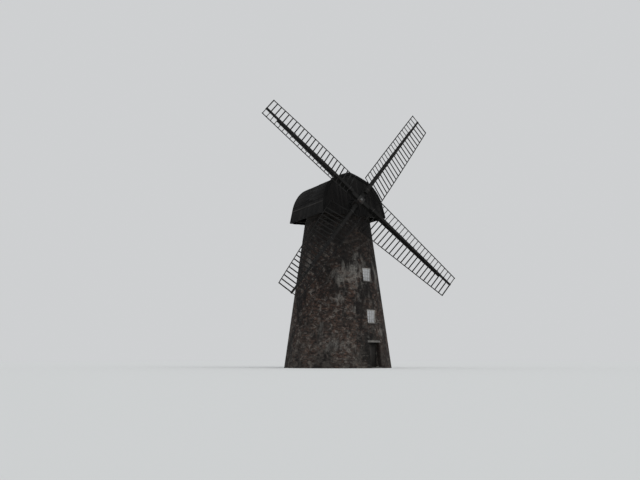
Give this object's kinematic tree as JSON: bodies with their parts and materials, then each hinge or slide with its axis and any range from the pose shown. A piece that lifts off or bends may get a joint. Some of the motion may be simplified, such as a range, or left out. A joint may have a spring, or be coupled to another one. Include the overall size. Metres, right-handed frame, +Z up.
{
  "type": "traditional windmill",
  "caption": "Battered round brick tower mill with an arched boarded cap turning on a curb, and twisted lattice sails on an inclined shaft.",
  "frame": {"origin": "on the tower's axis at ground level, where the wall stands", "axes": "+Z up the tower, -Y towards the side the sails face at rest, +X to the right as seen from the sails' side"},
  "size_m": [17.3268, 9.8511, 22.3982],
  "materials": {
    "bearing": "satin",
    "brick": "matte",
    "door_timber": "matte",
    "floor_brick": "matte",
    "floor_timber": "matte",
    "frame_timber": "matte",
    "iron": "matte",
    "pale_timber": "matte",
    "pane": "gloss",
    "sail_timber": "matte",
    "sash_paint": "satin",
    "shaft": "matte",
    "stone": "matte",
    "tarred_boards": "satin"
  },
  "bodies": {
    "tower": {"curb": "frame_timber", "door_head": "door_timber", "door_lintel": "pale_timber", "door_pintles": "iron", "door_posts": "door_timber", "door_step": "stone", "doorway_left_wall": "brick", "doorway_right_wall": "brick", "first_floor": "floor_timber", "ground_floor": "floor_brick", "second_floor": "floor_timber", "wall_front_left": "brick", "wall_front_right": "brick", "wall_left": "brick", "wall_over_door": "brick", "wall_rear": "brick", "wall_rear_left": "brick", "wall_rear_right": "brick", "wall_right": "brick", "window_frames": "sash_paint", "window_heads": "floor_timber", "window_panes": "pane", "window_sills": "stone"},
    "cap": {"cap_circle": "frame_timber", "cap_front_left": "tarred_boards", "cap_front_right": "tarred_boards", "cap_front_sill": "tarred_boards", "cap_front_top": "tarred_boards", "cap_outriggers": "frame_timber", "cap_rear_wall": "tarred_boards", "cap_roof_left": "tarred_boards", "cap_roof_right": "tarred_boards", "cap_sheers": "frame_timber", "cap_skirt_left": "tarred_boards", "cap_skirt_right": "tarred_boards", "eave_plates": "frame_timber", "neck_bearing": "bearing", "ridge_board": "tarred_boards", "tail_beam": "frame_timber", "tail_bearing": "bearing", "weather_beam": "frame_timber"},
    "sails": {"canister": "iron", "lattice_1": "sail_timber", "lattice_2": "sail_timber", "lattice_3": "sail_timber", "lattice_4": "sail_timber", "stock_inner": "sail_timber", "stock_outer": "sail_timber", "whip_1": "sail_timber", "whip_2": "sail_timber", "whip_3": "sail_timber", "whip_4": "sail_timber", "windshaft": "shaft"},
    "door": {"door_leaf": "door_timber", "door_ledges": "door_timber", "door_straps": "iron"}
  },
  "joints": [
    {"name": "cap_turn", "type": "hinge", "parent": "tower", "child": "cap", "pos_m": [0, 0, 12.76], "axis": [0, 0, 1], "continuous": true},
    {"name": "sails_turn", "type": "hinge", "parent": "cap", "child": "sails", "pos_m": [0, -3.906, 13.85], "axis": [0, -0.9874, 0.1582], "continuous": true},
    {"name": "door_swing", "type": "hinge", "parent": "tower", "child": "door", "pos_m": [0.4462, -3.77869, 1], "axis": [0, 0, 1], "range_deg": [0, 100]}
  ]
}
